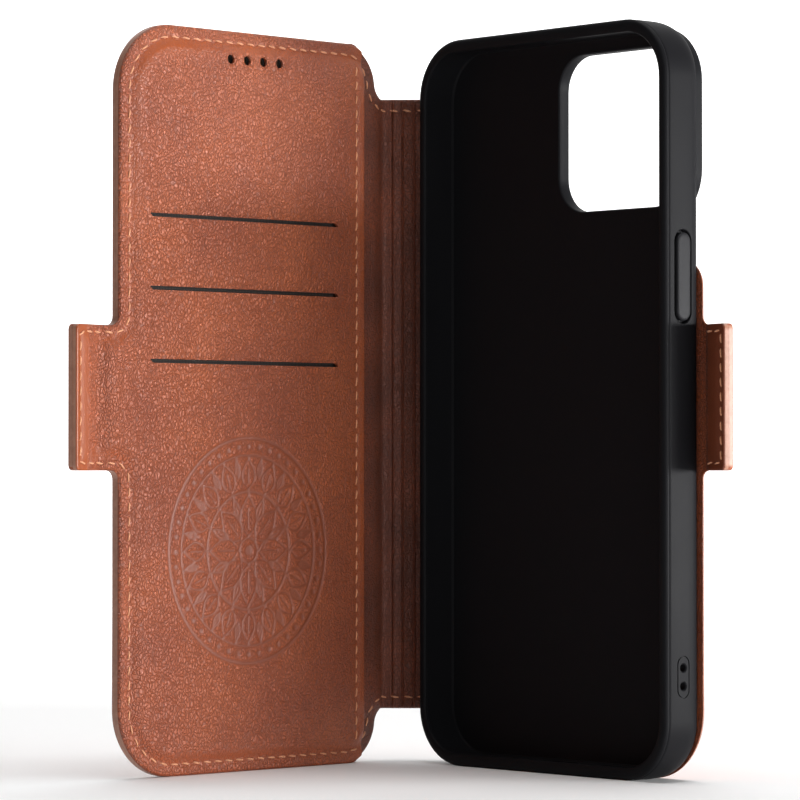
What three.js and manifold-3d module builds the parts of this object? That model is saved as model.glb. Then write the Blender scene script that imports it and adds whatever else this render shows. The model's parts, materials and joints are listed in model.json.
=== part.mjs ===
// A double-clasp folio phone wallet case, standing open like a book.
// Units are millimetres and +Z is up. The open front of the phone tray faces -Y.
// The tray stays put; the spine, the front cover and the two clasp tabs fold about vertical
// creases, and the case stands on the bottom edges of the tray and the cover.

import * as THREE from 'three';
import { mergeVertices } from 'three/addons/utils/BufferGeometryUtils.js';
import Module from 'manifold-3d';

const wasm = await Module();
wasm.setup();

// ---------- driving dimensions ----------

const GAP = 0.3; // room between neighbouring layers
const CLEAR = 0.05; // room under a thread that lies on leather
const SQUARE = 0.05; // corner radius of a strip that is cut square
const OVER = 1; // how far a cutting tool runs past the face that it opens

// the phone that the tray is made for
const PHONE = { width: 76.7, height: 159.9, depth: 8.25, radius: 11 };
const PHONE_FIT = 0.1; // free room on each side of the phone

// the moulded tray
const TRAY = { width: 80, height: 164.4, depth: 10.6, radius: 13, bevel: 1 };
const LIP = { thickness: 1, overhang: 0.65 };
const CAMERA = { left: -7, bottom: 120, right: 39, top: 163.2, radius: 12, proud: 2, rim: 4.2, bevel: 0.4 };
const PORT = { width: 13, height: 6.4, depth: 6 };
const SPEAKER = { width: 15, height: 3.6, offset: 20 };
const STIFFENER = { width: 66, low: 8, high: 105, corner: 8, thickness: 0.4 };
const LANYARD = { z: 22.6, pitch: 3.9, hole: 1.5, depth: 3 };

// push buttons in the tray's sides
const BUTTON = { height: 4, proud: 0.4, moat: 0.5, thickness: 1.1, window: 3 };
const BUTTON_Y = 5.4;
const POWER = { z: 108.4, length: 19 };
const ACTION = { z: 131, length: 7.6 };
const VOLUME_UP = { z: 115, length: 11 };
const VOLUME_DOWN = { z: 99, length: 11 };

// layers, counted inwards from the outer face of the leather
const LEATHER = 0.7;
const BOARD = 0.5;
const LINING = 0.4;
const RIM = 2.6; // solid border of a shell of leather around its board

// leaves: the cover and the back panel neck down to the spine by two tangent arcs
const SPINE = {
  low: 11.9, length: 15.4, ridges: 5, ridgeHeight: 0.3, rearRoom: 1.2, frontRoom: 1.6,
};
const NECK = { outer: 10, inner: 3.5, start: 0.6 };
const CREASE_ROOM = 0.5; // each leaf of leather stops this far from its crease
const LINING_ROOM = 2.1; // each lining stops this far from its crease
const TAB = { low: 66.8, high: 98.2, radius: 1.2, rim: 1.1, seam: 1, board: 0.7 };
const COVER = {
  reach: 82.3, corner: 15, base: 5, shortBase: 2.7, rimFrom: 4.6, boardFrom: 6,
};
const BACK = { reach: 82.6, corner: 14.9, base: 1.9 };
const BACK_NOTCH = { left: 34.3, bottom: 112.4, inner: 12.8, outer: 6, top: 4 };
const FRONT_TAB_LENGTH = 8.8;
const REAR_TAB_LENGTH = 8.4;

// the card panel on the inside of the cover
const PANEL = { edge: 9.2, border: 3.2, wall: 0.7, raise: 1.6, skin: 0.6 };
const SLOT = { near: 18.2, far: 74.5, height: 1, z: [122, 106.1, 90.2], liner: 11 };
const SPEAKER_HOLES = { count: 4, pitch: 4.9, radius: 1.05, far: 50.6, fromTop: 6.4 };
const FABRIC = 0.2;

// threads and magnets
const THREAD = { inset: 2.4, width: 0.5, height: 0.25, groove: 0.35 };
const THIN_THREAD = 0.2; // height of the threads on the spine and the tabs
const MAGNET = { width: 3.6, height: 9, inset: 8.2, fromEnd: 3.9 };

// how far each crease is bent in the standing pose, from lying flat
const SPINE_BEND = 47;
const TAB_BEND = 15;

// ---------- worked out from the driving dimensions ----------

const SPINE_HIGH = TRAY.height - SPINE.low;
const NECK_ANGLE = Math.acos(1 - SPINE.low / (NECK.outer + NECK.inner));
const NECK_END = NECK.start + (NECK.outer + NECK.inner) * Math.sin(NECK_ANGLE);
const BACK_OUTER_Y = TRAY.depth + GAP + LEATHER;
const HINGE_DEPTH = LEATHER / 2; // creases lie in the middle of the outer leather
const SPINE_HINGE = { x: -42.1, y: BACK_OUTER_Y - HINGE_DEPTH };
const BOARD_AT = LEATHER + GAP;
const LINING_AT = BOARD_AT + BOARD + GAP;
const PANEL_AT = LINING_AT + LINING + GAP;
const TAB_LINING_AT = BOARD_AT + TAB.board + GAP;

const radians = THREE.MathUtils.degToRad;

// ---------- solids ----------

const finishes = {
  leather: { color: 0x8a4526, roughness: 0.5, metalness: 0 },
  lining: { color: 0x7c3d22, roughness: 0.55, metalness: 0 },
  tpu: { color: 0x3a3a3c, roughness: 0.6, metalness: 0 },
  board: { color: 0x9a8f80, roughness: 0.9, metalness: 0 },
  fabric: { color: 0x2b2622, roughness: 0.95, metalness: 0 },
  thread: { color: 0xd9a27c, roughness: 0.8, metalness: 0 },
  magnet: { color: 0xb9bcc0, roughness: 0.3, metalness: 1 },
};

function toSolid(geometry) {
  const bare = geometry.clone();
  bare.deleteAttribute('normal');
  bare.deleteAttribute('uv');
  const merged = mergeVertices(bare, 1e-4);
  return new wasm.Manifold(new wasm.Mesh({
    numProp: 3,
    vertProperties: new Float32Array(merged.attributes.position.array),
    triVerts: new Uint32Array(merged.index.array),
  }));
}

function toGeometry(solid) {
  const mesh = solid.getMesh();
  const geometry = new THREE.BufferGeometry();
  geometry.setAttribute('position', new THREE.BufferAttribute(mesh.vertProperties, 3));
  geometry.setIndex(new THREE.BufferAttribute(mesh.triVerts, 1));
  geometry.computeVertexNormals();
  return geometry;
}

function node(name, finish, shape) {
  const mesh = new THREE.Mesh(toGeometry(shape), new THREE.MeshStandardMaterial(finishes[finish]));
  mesh.name = name;
  return mesh;
}

// A shape drawn in (x, z), made solid from y = near to y = far.
function slab(shape, near, far, bevel = 0) {
  const geometry = new THREE.ExtrudeGeometry(shape, {
    depth: far - near - 2 * bevel,
    curveSegments: 7,
    bevelEnabled: bevel > 0,
    bevelThickness: bevel,
    bevelSize: bevel,
    bevelOffset: -bevel,
    bevelSegments: 3,
  });
  geometry.rotateX(radians(90));
  geometry.translate(0, far - bevel, 0);
  return toSolid(geometry);
}

// A shape drawn in (distance from the hinge, z) for a leaf that reaches towards -X when flat.
// Layers count inwards from the outer face of the leather, which faces +Y.
function leafLayer(shape, from, to) {
  const geometry = new THREE.ExtrudeGeometry(shape, {
    depth: to - from,
    curveSegments: 7,
    bevelEnabled: false,
  });
  geometry.rotateX(radians(90));
  geometry.rotateZ(radians(180));
  geometry.translate(0, HINGE_DEPTH - to, 0);
  return toSolid(geometry);
}

// The same for a leaf that reaches towards +X.
function mirroredLayer(shape, from, to) {
  const geometry = new THREE.ExtrudeGeometry(shape, {
    depth: to - from,
    curveSegments: 7,
    bevelEnabled: false,
  });
  geometry.rotateX(radians(90));
  geometry.translate(0, HINGE_DEPTH - from, 0);
  return toSolid(geometry);
}

// ---------- outlines ----------

function roundedRectangle(left, bottom, right, top, radius) {
  const shape = new THREE.Shape();
  shape.absarc(right - radius, bottom + radius, radius, radians(270), radians(360));
  shape.absarc(right - radius, top - radius, radius, 0, radians(90));
  shape.absarc(left + radius, top - radius, radius, radians(90), radians(180));
  shape.absarc(left + radius, bottom + radius, radius, radians(180), radians(270));
  shape.closePath();
  return shape;
}

function centredRectangle(width, low, high, radius) {
  return roundedRectangle(-width / 2, low, width / 2, high, radius);
}

// The arcs that neck a leaf down to the spine's height: a hollow arc out of the spine's edge,
// then a full one. A leaf that starts part of the way along them has only what is left.
function neckArcs(start, inset) {
  const inner = NECK.inner + inset;
  const outer = NECK.outer - inset;
  const run = start - NECK.start;
  const hollow = run < inner * Math.sin(NECK_ANGLE);
  return {
    inner,
    outer,
    hollow,
    hollowFrom: run > 0 && hollow ? Math.acos(run / inner) : radians(90),
    fullFrom: hollow ? radians(90) - NECK_ANGLE : Math.acos((NECK_END - start) / outer),
  };
}

function neckBottom(shape, start, inset) {
  const { inner, outer, hollow, hollowFrom, fullFrom } = neckArcs(start, inset);
  if (start < NECK.start) {
    shape.moveTo(start, SPINE_HIGH - inset);
    shape.lineTo(start, SPINE.low + inset);
  }
  if (hollow) {
    shape.absarc(NECK.start, SPINE.low - NECK.inner, inner, hollowFrom, radians(90) - NECK_ANGLE, true);
  }
  shape.absarc(NECK_END, NECK.outer, outer, Math.PI + fullFrom, radians(270));
}

function neckTop(shape, start, inset) {
  const { inner, outer, hollow, hollowFrom, fullFrom } = neckArcs(start, inset);
  shape.absarc(NECK_END, TRAY.height - NECK.outer, outer, radians(90), Math.PI - fullFrom);
  if (hollow) {
    shape.absarc(NECK.start, SPINE_HIGH + NECK.inner, inner, NECK_ANGLE - radians(90), -hollowFrom, true);
  }
}

// The stub that a clasp tab hangs from, with a hollow fillet above and below.
function tabStub(shape, reach, base, inset) {
  const fillet = Math.min(base, 2);
  const centre = reach + fillet;
  const end = reach + base;
  const radius = fillet + inset;
  shape.absarc(centre, TAB.low - fillet, radius, radians(180), radians(90), true);
  shape.lineTo(end, TAB.low + inset);
  shape.lineTo(end, TAB.high - inset);
  shape.absarc(centre, TAB.high + fillet, radius, radians(270), radians(180), true);
}

function coverOutline(start, inset, base = COVER.shortBase) {
  const shape = new THREE.Shape();
  const centre = COVER.reach - COVER.corner;
  const radius = COVER.corner - inset;
  neckBottom(shape, start, inset);
  shape.absarc(centre, COVER.corner, radius, radians(270), radians(360));
  tabStub(shape, COVER.reach, base, inset);
  shape.absarc(centre, TRAY.height - COVER.corner, radius, 0, radians(90));
  neckTop(shape, start, inset);
  shape.closePath();
  return shape;
}

// The back panel leaves the camera's corner free.
function backOutline(start, inset) {
  const shape = new THREE.Shape();
  const { left, bottom, inner, outer, top } = BACK_NOTCH;
  neckBottom(shape, start, inset);
  shape.absarc(
    BACK.reach - BACK.corner, BACK.corner, BACK.corner - inset, radians(270), radians(360),
  );
  tabStub(shape, BACK.reach, BACK.base, inset);
  shape.absarc(BACK.reach - outer, bottom - outer, outer - inset, 0, radians(90));
  shape.absarc(left + inner, bottom + inner, inner + inset, radians(270), radians(180), true);
  shape.absarc(left - top, TRAY.height - top, top - inset, 0, radians(90));
  neckTop(shape, start, inset);
  shape.closePath();
  return shape;
}

function tabOutline(start, length, inset) {
  const radius = Math.max(TAB.radius - inset, 0.2);
  const shape = new THREE.Shape();
  const centre = length - inset - radius;
  shape.moveTo(start, TAB.high - inset);
  shape.lineTo(start, TAB.low + inset);
  shape.absarc(centre, TAB.low + inset + radius, radius, radians(270), radians(360));
  shape.absarc(centre, TAB.high - inset - radius, radius, 0, radians(90));
  shape.closePath();
  return shape;
}

// ---------- the moulded tray and its buttons ----------

function buttonOutline(button, grow) {
  const half = button.length / 2 + grow;
  const rise = BUTTON.height / 2 + grow;
  const shape = new THREE.Shape();
  shape.absarc(BUTTON_Y, button.z + half - rise, rise, 0, radians(180));
  shape.absarc(BUTTON_Y, button.z - half + rise, rise, radians(180), radians(360));
  shape.closePath();
  return shape;
}

// A shape drawn in (y, z), made solid from x = near to x = far.
function sideSlab(shape, near, far) {
  const geometry = new THREE.ExtrudeGeometry(shape, {
    depth: far - near,
    curveSegments: 6,
    bevelEnabled: false,
  });
  geometry.rotateX(radians(90));
  geometry.rotateZ(radians(90));
  geometry.translate(near, 0, 0);
  return toSolid(geometry);
}

function buttonWindow(button, side) {
  const wall = TRAY.width / 2;
  const inner = wall - BUTTON.window;
  const outer = wall + OVER;
  return side > 0
    ? sideSlab(buttonOutline(button, BUTTON.moat), inner, outer)
    : sideSlab(buttonOutline(button, BUTTON.moat), -outer, -inner);
}

function pushButton(name, button, side) {
  const face = TRAY.width / 2 + BUTTON.proud;
  const back = face - BUTTON.thickness;
  const cap = side > 0
    ? sideSlab(buttonOutline(button, 0), back, face)
    : sideSlab(buttonOutline(button, 0), -face, -back);
  return node(name, 'tpu', cap);
}

// An opening through the bottom wall, drawn in (x, y).
function bottomOpening(centre, width, height) {
  const middle = LIP.thickness + PHONE.depth / 2;
  const radius = height / 2 - 0.01;
  const shape = roundedRectangle(
    centre - width / 2, middle - height / 2, centre + width / 2, middle + height / 2, radius,
  );
  const geometry = new THREE.ExtrudeGeometry(shape, {
    depth: PORT.depth,
    curveSegments: 5,
    bevelEnabled: false,
  });
  geometry.translate(0, 0, -OVER);
  return toSolid(geometry);
}

function lanyardHole(z) {
  const geometry = new THREE.CylinderGeometry(LANYARD.hole / 2, LANYARD.hole / 2, LANYARD.depth, 12);
  geometry.rotateZ(radians(90));
  geometry.translate(TRAY.width / 2, TRAY.depth / 2, z);
  return toSolid(geometry);
}

function tray() {
  const pocket = {
    width: PHONE.width + 2 * PHONE_FIT,
    low: (TRAY.height - PHONE.height) / 2 - PHONE_FIT,
    floor: LIP.thickness + PHONE.depth + PHONE_FIT / 2,
  };
  const pocketHigh = TRAY.height - pocket.low;
  const lipLow = pocket.low + LIP.overhang;
  const outside = centredRectangle(TRAY.width, 0, TRAY.height, TRAY.radius);
  const inside = centredRectangle(pocket.width, pocket.low, pocketHigh, PHONE.radius);
  const mouth = centredRectangle(
    pocket.width - 2 * LIP.overhang, lipLow, TRAY.height - lipLow, PHONE.radius - LIP.overhang,
  );
  const { left, bottom, right, top, radius, rim } = CAMERA;
  const guard = roundedRectangle(left, bottom, right, top, radius);
  const view = roundedRectangle(left + rim, bottom + rim, right - rim, top - rim, radius - rim);
  const stiffenerFront = TRAY.depth - STIFFENER.thickness;
  let body = slab(outside, 0, TRAY.depth, TRAY.bevel)
    .add(slab(guard, TRAY.depth - 1, TRAY.depth + CAMERA.proud, CAMERA.bevel))
    .subtract(slab(inside, LIP.thickness, pocket.floor))
    .subtract(slab(mouth, -OVER, LIP.thickness + OVER))
    .subtract(slab(view, pocket.floor - OVER, TRAY.depth + CAMERA.proud + OVER))
    .subtract(slab(stiffenerOutline(-GAP), stiffenerFront - GAP, TRAY.depth + OVER))
    .subtract(bottomOpening(0, PORT.width, PORT.height))
    .subtract(bottomOpening(-SPEAKER.offset, SPEAKER.width, SPEAKER.height))
    .subtract(bottomOpening(SPEAKER.offset, SPEAKER.width, SPEAKER.height))
    .subtract(buttonWindow(POWER, 1));
  for (const button of [ACTION, VOLUME_UP, VOLUME_DOWN]) {
    body = body.subtract(buttonWindow(button, -1));
  }
  for (const side of [-1, 1]) {
    body = body.subtract(lanyardHole(LANYARD.z + side * LANYARD.pitch / 2));
  }
  return node('tpu_tray', 'tpu', body);
}

// A seam that the tab's stub parts into a lower and an upper thread.
function seamNodes(name, seam) {
  const threads = seam.decompose();
  threads.sort((a, b) => a.boundingBox().min[2] - b.boundingBox().min[2]);
  return threads.map((thread, i) => node(`${name}_${['lower', 'upper'][i]}`, 'thread', thread));
}

// ---------- the back panel, with its stitching let into a pressed groove ----------

// A thin sheet let into the back of the tray, below the camera.
function stiffenerOutline(inset) {
  const { width, low, high, corner } = STIFFENER;
  return centredRectangle(width - 2 * inset, low + inset, high - inset, corner);
}

function backPanel() {
  const groove = mirroredLayer(
    backOutline(LINING_ROOM - GAP, THREAD.inset - GAP), -OVER, THREAD.groove,
  ).subtract(mirroredLayer(
    backOutline(CREASE_ROOM, THREAD.inset + THREAD.width + GAP), -2 * OVER, OVER,
  ));
  const leather = mirroredLayer(backOutline(CREASE_ROOM, 0), 0, LEATHER).subtract(groove);
  const bottom = THREAD.groove - CLEAR;
  const seam = mirroredLayer(
    backOutline(LINING_ROOM, THREAD.inset), bottom - THREAD.height, bottom,
  ).subtract(mirroredLayer(
    backOutline(CREASE_ROOM, THREAD.inset + THREAD.width), -OVER, OVER,
  ));
  const panel = new THREE.Group();
  panel.position.set(SPINE_HINGE.x, SPINE_HINGE.y, 0);
  panel.add(node('back_leather', 'leather', leather));
  seamNodes('back_stitching', seam).forEach((thread) => panel.add(thread));
  return panel;
}

// ---------- the spine ----------

function spineOutline(room) {
  return roundedRectangle(room, SPINE.low, SPINE.length - room, SPINE_HIGH, SQUARE);
}

// The lining seen from above: a strip with pressed ridges on its inner side.
function ridgedLining() {
  const from = SPINE.rearRoom;
  const to = SPINE.length - SPINE.frontRoom;
  const pitch = (to - from) / SPINE.ridges;
  const base = LEATHER + GAP;
  const face = base + LINING;
  const section = new THREE.Shape();
  section.moveTo(from, base);
  section.lineTo(from, face);
  for (let i = 0; i < SPINE.ridges; i += 1) {
    const at = from + i * pitch;
    section.lineTo(at + 0.25 * pitch, face + SPINE.ridgeHeight);
    section.lineTo(at + 0.75 * pitch, face + SPINE.ridgeHeight);
    section.lineTo(at + pitch, face);
  }
  section.lineTo(to, base);
  section.closePath();
  const geometry = new THREE.ExtrudeGeometry(section, {
    depth: SPINE_HIGH - SPINE.low,
    bevelEnabled: false,
  });
  geometry.rotateZ(radians(180));
  geometry.translate(0, HINGE_DEPTH, SPINE.low);
  return toSolid(geometry);
}

function spineSeam(z) {
  const face = LEATHER + GAP + LINING + SPINE.ridgeHeight + CLEAR;
  const { rearRoom, frontRoom, length } = SPINE;
  const strip = roundedRectangle(
    rearRoom + 0.2, z, length - frontRoom - 0.2, z + THREAD.width, SQUARE,
  );
  return leafLayer(strip, face, face + THIN_THREAD);
}

function spineLeaf() {
  const spine = new THREE.Group();
  spine.position.set(SPINE_HINGE.x, SPINE_HINGE.y, 0);
  spine.rotation.z = radians(SPINE_BEND);
  spine.add(node('spine_leather', 'leather', leafLayer(spineOutline(CREASE_ROOM), 0, LEATHER)));
  spine.add(node('spine_lining', 'lining', ridgedLining()));
  spine.add(node('spine_stitching_bottom', 'thread', spineSeam(SPINE.low + THREAD.inset)));
  spine.add(node(
    'spine_stitching_top', 'thread', spineSeam(SPINE_HIGH - THREAD.inset - THREAD.width),
  ));
  return spine;
}

// ---------- the front cover ----------

// The outer leather: thin over the stub, and deeper round its border to hold the board.
function coverLeather() {
  const well = leafLayer(coverOutline(COVER.rimFrom - OVER, RIM), LEATHER, LEATHER + OVER * 2);
  const creaseSide = leafLayer(
    roundedRectangle(-OVER, 0, COVER.rimFrom, TRAY.height, SQUARE), LEATHER, LINING_AT,
  );
  return leafLayer(coverOutline(CREASE_ROOM, 0), 0, LINING_AT - GAP)
    .add(leafLayer(coverOutline(CREASE_ROOM, 0, COVER.base), 0, LEATHER))
    .subtract(well)
    .subtract(creaseSide);
}

function cardSlit(z) {
  const { near, far, height } = SLOT;
  return roundedRectangle(near, z, far, z + height, height / 2 - 0.01);
}

// The earpiece is heard through holes that pass through every layer of the cover.
function withSpeakerHoles(solid) {
  let open = solid;
  for (let i = 0; i < SPEAKER_HOLES.count; i += 1) {
    const hole = new THREE.CylinderGeometry(SPEAKER_HOLES.radius, SPEAKER_HOLES.radius, 20, 12);
    hole.translate(
      SPEAKER_HOLES.pitch * i - SPEAKER_HOLES.far, 0, TRAY.height - SPEAKER_HOLES.fromTop,
    );
    open = open.subtract(toSolid(hole));
  }
  return open;
}

function cardPanel() {
  const foot = leafLayer(coverOutline(PANEL.edge, 0), PANEL_AT, PANEL_AT + PANEL.skin);
  const raised = leafLayer(
    coverOutline(PANEL.edge, PANEL.border), PANEL_AT, PANEL_AT + PANEL.raise,
  );
  const hollow = leafLayer(
    coverOutline(PANEL.edge - OVER, PANEL.border + PANEL.wall),
    PANEL_AT - OVER,
    PANEL_AT + PANEL.raise - PANEL.skin,
  );
  let skin = foot.add(raised).subtract(hollow);
  for (const z of SLOT.z) {
    skin = skin.subtract(leafLayer(cardSlit(z), PANEL_AT, PANEL_AT + PANEL.raise + OVER));
  }
  return skin;
}

function slotLiner(z) {
  const from = PANEL_AT + FABRIC + GAP;
  const outline = roundedRectangle(
    SLOT.near + 1, z - 1 - SLOT.liner, SLOT.far - 1, z - 1, 1,
  );
  return leafLayer(outline, from, from + FABRIC);
}

function coverSeam() {
  const face = PANEL_AT + PANEL.skin + CLEAR;
  const start = PANEL.edge + THREAD.width;
  return leafLayer(coverOutline(start, THREAD.inset), face, face + THREAD.height)
    .subtract(leafLayer(
      coverOutline(PANEL.edge - OVER, THREAD.inset + THREAD.width), face - OVER, face + OVER,
    ))
    .subtract(leafLayer(
      roundedRectangle(
        COVER.reach - CREASE_ROOM, TAB.low - RIM, COVER.reach + COVER.base, TAB.high + RIM, SQUARE,
      ),
      face - OVER,
      face + OVER,
    ));
}

function panelEdgeSeam() {
  const face = PANEL_AT + PANEL.raise + CLEAR;
  const end = PANEL.border + THREAD.inset / 2;
  const near = PANEL.edge + THREAD.inset;
  const strip = roundedRectangle(near, end, near + THREAD.width, TRAY.height - end, SQUARE);
  return leafLayer(strip, face, face + THREAD.height);
}

function coverLeaf() {
  const cover = new THREE.Group();
  cover.position.set(-SPINE.length, 0, 0);
  cover.rotation.z = radians(SPINE_BEND);
  const board = leafLayer(coverOutline(COVER.boardFrom, RIM + GAP), BOARD_AT, BOARD_AT + BOARD);
  const lining = leafLayer(coverOutline(LINING_ROOM, 0), LINING_AT, LINING_AT + LINING);
  const backing = leafLayer(
    coverOutline(PANEL.edge + THREAD.width, PANEL.border + PANEL.wall + GAP), PANEL_AT, PANEL_AT + FABRIC,
  );
  cover.add(node('cover_leather', 'leather', withSpeakerHoles(coverLeather())));
  cover.add(node('cover_board', 'board', withSpeakerHoles(board)));
  cover.add(node('cover_lining', 'lining', withSpeakerHoles(lining)));
  cover.add(node('card_panel_backing', 'fabric', withSpeakerHoles(backing)));
  const names = ['card_slot_liner_top', 'card_slot_liner_middle', 'card_slot_liner_bottom'];
  names.forEach((name, i) => cover.add(node(name, 'fabric', slotLiner(SLOT.z[i]))));
  cover.add(node('card_panel_leather', 'leather', withSpeakerHoles(cardPanel())));
  seamNodes('cover_stitching', coverSeam()).forEach((thread) => cover.add(thread));
  cover.add(node('card_panel_edge_stitching', 'thread', panelEdgeSeam()));
  return cover;
}

// ---------- the clasp tabs ----------

function magnetBar(distance, z, layer) {
  const bar = new THREE.BoxGeometry(MAGNET.width, TAB.board, MAGNET.height);
  const side = layer === leafLayer ? -1 : 1;
  bar.translate(side * distance, HINGE_DEPTH - BOARD_AT - TAB.board / 2, z);
  return toSolid(bar);
}

function magnetHole(distance, z) {
  const across = MAGNET.width / 2 + GAP;
  const up = MAGNET.height / 2 + GAP;
  return roundedRectangle(distance - across, z - up, distance + across, z + up, GAP);
}

// layer is leafLayer for a tab that reaches towards -X, mirroredLayer for one towards +X.
function claspTab(prefix, length, layer) {
  const { rim, seam: inset } = TAB;
  const distance = length - MAGNET.fromEnd;
  const heights = [TAB.low + MAGNET.inset, TAB.high - MAGNET.inset];
  let board = layer(tabOutline(2 * CREASE_ROOM, length, rim + GAP), BOARD_AT, BOARD_AT + TAB.board);
  for (const z of heights) {
    board = board.subtract(layer(magnetHole(distance, z), BOARD_AT - OVER, BOARD_AT + OVER));
  }
  const leather = layer(tabOutline(CREASE_ROOM, length, 0), 0, BOARD_AT + TAB.board)
    .subtract(layer(tabOutline(CREASE_ROOM - OVER, length, rim), LEATHER, TAB_LINING_AT));
  const lining = layer(tabOutline(LINING_ROOM, length, 0), TAB_LINING_AT, TAB_LINING_AT + LINING);
  const face = TAB_LINING_AT + LINING + CLEAR;
  const seam = layer(tabOutline(LINING_ROOM + GAP, length, inset), face, face + THIN_THREAD)
    .subtract(layer(tabOutline(0, length, inset + THREAD.width), face - OVER, face + OVER));
  const tab = new THREE.Group();
  tab.add(node(`${prefix}_leather`, 'leather', leather));
  tab.add(node(`${prefix}_board`, 'board', board));
  tab.add(node(`${prefix}_magnet_lower`, 'magnet', magnetBar(distance, heights[0], layer)));
  tab.add(node(`${prefix}_magnet_upper`, 'magnet', magnetBar(distance, heights[1], layer)));
  tab.add(node(`${prefix}_lining`, 'lining', lining));
  tab.add(node(`${prefix}_stitching`, 'thread', seam));
  return tab;
}

// ---------- assembly ----------

const shell = new THREE.Group();
shell.add(tray());
shell.add(pushButton('power_button', POWER, 1));
shell.add(pushButton('action_button', ACTION, -1));
shell.add(pushButton('volume_up_button', VOLUME_UP, -1));
shell.add(pushButton('volume_down_button', VOLUME_DOWN, -1));
shell.add(node(
  'back_stiffener',
  'board',
  slab(stiffenerOutline(0), TRAY.depth - STIFFENER.thickness, TRAY.depth),
));
shell.add(backPanel());

const rearTab = claspTab('rear_tab', REAR_TAB_LENGTH, mirroredLayer);
rearTab.position.set(SPINE_HINGE.x + BACK.reach + BACK.base + CREASE_ROOM, SPINE_HINGE.y, 0);
rearTab.rotation.z = radians(-TAB_BEND);
shell.add(rearTab);

const frontTab = claspTab('front_tab', FRONT_TAB_LENGTH, leafLayer);
frontTab.position.set(-(COVER.reach + COVER.base + CREASE_ROOM), 0, 0);
frontTab.rotation.z = radians(TAB_BEND);

const cover = coverLeaf();
cover.add(frontTab);

const spine = spineLeaf();
spine.add(cover);

const standing = new THREE.Group();
standing.add(shell, spine);

// The origin is under the middle of the case, on the surface that it stands on.
standing.updateMatrixWorld(true);
const bounds = new THREE.Box3().setFromObject(standing, true);
const centre = bounds.getCenter(new THREE.Vector3());
standing.position.set(-centre.x, -centre.y, -bounds.min.z);

const walletCase = new THREE.Group();
walletCase.add(standing);

export default walletCase;
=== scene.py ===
"""A double-clasp folio phone wallet case: leather leaves, stitching and a moulded tray."""

import json
import math
import random
from dataclasses import dataclass

import bmesh
import bpy
import numpy as np
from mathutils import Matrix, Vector
from mathutils.geometry import delaunay_2d_cdt
from mathutils.kdtree import KDTree


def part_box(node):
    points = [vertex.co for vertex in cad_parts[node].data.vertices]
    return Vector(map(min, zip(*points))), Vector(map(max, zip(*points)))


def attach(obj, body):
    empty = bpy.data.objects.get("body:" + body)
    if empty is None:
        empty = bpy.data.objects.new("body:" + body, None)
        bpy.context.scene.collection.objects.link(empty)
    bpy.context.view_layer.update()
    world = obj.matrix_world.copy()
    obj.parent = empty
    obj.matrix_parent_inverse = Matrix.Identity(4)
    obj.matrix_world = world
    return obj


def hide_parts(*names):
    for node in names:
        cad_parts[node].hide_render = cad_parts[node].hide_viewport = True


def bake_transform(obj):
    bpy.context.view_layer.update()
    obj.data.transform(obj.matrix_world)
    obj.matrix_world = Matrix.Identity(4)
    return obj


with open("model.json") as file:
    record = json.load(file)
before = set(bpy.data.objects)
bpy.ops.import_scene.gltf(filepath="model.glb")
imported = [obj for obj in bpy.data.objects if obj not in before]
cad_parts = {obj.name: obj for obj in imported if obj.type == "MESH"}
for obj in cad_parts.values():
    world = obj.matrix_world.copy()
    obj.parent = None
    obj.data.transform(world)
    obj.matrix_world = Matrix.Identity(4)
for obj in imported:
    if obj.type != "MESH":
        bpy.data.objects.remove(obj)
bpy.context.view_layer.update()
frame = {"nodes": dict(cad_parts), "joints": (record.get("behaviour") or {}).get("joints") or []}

# ---------- dimensions, in millimetres ----------

MM = 0.001  # metres in a millimetre
FAR = 1e9

HINGE_DEPTH = 0.35  # creases lie in the middle of the outer leather
CREASE_REACH = 2.6  # half of the width over which the leather bends at the spine's creases
TAB_REACH = 3.2  # the same at the front tab
REAR_TAB_REACH = 2  # and at the rear tab
TAB_BEND = 15  # degrees
SPLIT = 3.0  # the leaves' own leather starts this far from the spine's creases

LEATHER = 0.9  # thickness
RIM_BACK = 1.5  # how deep the outer leather and its glued edge reach
GLUE = 0.04
PANEL_EDGE = 9.2  # the card panel's open edge, from the cover's crease
PANEL_BORDER = 3.1  # the card panel's face at its pressed border
PANEL_RAISE = 0.95  # and how much more of it there is inside
PANEL_SKIN = 0.65
PANEL_CUT = (11.45, 1.3)  # the cut corners of the open edge: how far along and up they end
PRESSED = 2.9  # width of the pressed border
LINING_FACE = 1.5
TAB_FACE = 2.46
TAB_MIDDLE = 1.25

COVER_CORNER = 15
BACK_CORNER = 14.9
COVER_TAB_ROOT = 2
BACK_TAB_ROOT = 1.8
TAB_CORNER = 1.2
NOTCH_LOW = 112.4  # the back leather's cut-out for the cameras
NOTCH_SIDE = 34.3
NECK_INNER = 3.5
NECK_OUTER = 10
NECK_START = 0.6

SLOT_HEIGHT = 0.9
SLOT_ENDS = (18.2, 74.5)
HOLE_RADIUS = 1.05
MEDALLION = (45.8, 49.0)
MEDALLION_SIZE = (24.0, 25.5)
GROOVE_PITCH = 2.43
GROOVE_COUNT = 5
FIRST_GROOVE = 2.3  # from the cover's crease

BORDER_SEAM = 2.65  # middle of the thread, from the leather's edge
TAB_SEAM = 1.6
TAB_END_SEAM = 1.3
STITCH_PITCH = 3.2
STITCH_LENGTH = 2.25
STITCH_SLANT = 8  # degrees
THREAD_RADIUS = 0.21
THREAD_SIDES = 10
THREAD_RINGS = 11

AZIMUTH = math.radians(49)  # of the camera's look, from +Y towards -X


def joint_place(name):
    joint = next(j for j in frame["joints"] if j["name"] == name)
    return np.array(joint["pos_m"][:2]) / MM


def box_mm(node):
    low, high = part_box(node)
    return np.array(low) / MM, np.array(high) / MM


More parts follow.
